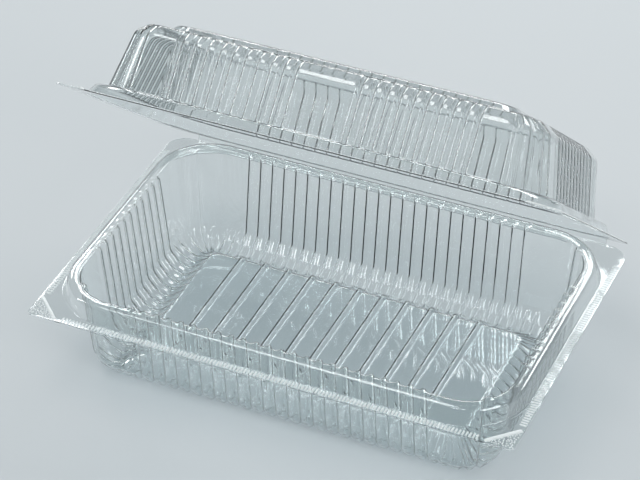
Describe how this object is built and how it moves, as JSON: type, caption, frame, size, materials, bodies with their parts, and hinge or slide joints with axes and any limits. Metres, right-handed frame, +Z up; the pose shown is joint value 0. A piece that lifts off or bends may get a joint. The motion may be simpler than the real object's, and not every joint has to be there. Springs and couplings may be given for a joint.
{
  "type": "clear hinged food clamshell",
  "caption": "Clear thermoformed clamshell: deep fluted tray with a knuckled foot and ribbed floor, and a fluted lid that swings on a rolled rear hinge.",
  "frame": {"origin": "middle of the underside of the tray's floor", "axes": "+X along the long side, +Y towards the hinge, +Z up"},
  "size_m": [0.23, 0.1631, 0.1585],
  "materials": {
    "clear_sheet": "clear high gloss, vacuum formed"
  },
  "bodies": {
    "tray": {"tray": "clear_sheet"},
    "lid": {"lid": "clear_sheet"}
  },
  "joints": [
    {"name": "lid_hinge", "type": "hinge", "parent": "tray", "child": "lid", "pos_m": [0, 0.0754, 0.03605], "axis": [-1, 0, 0], "range_deg": [-40, 140]}
  ]
}
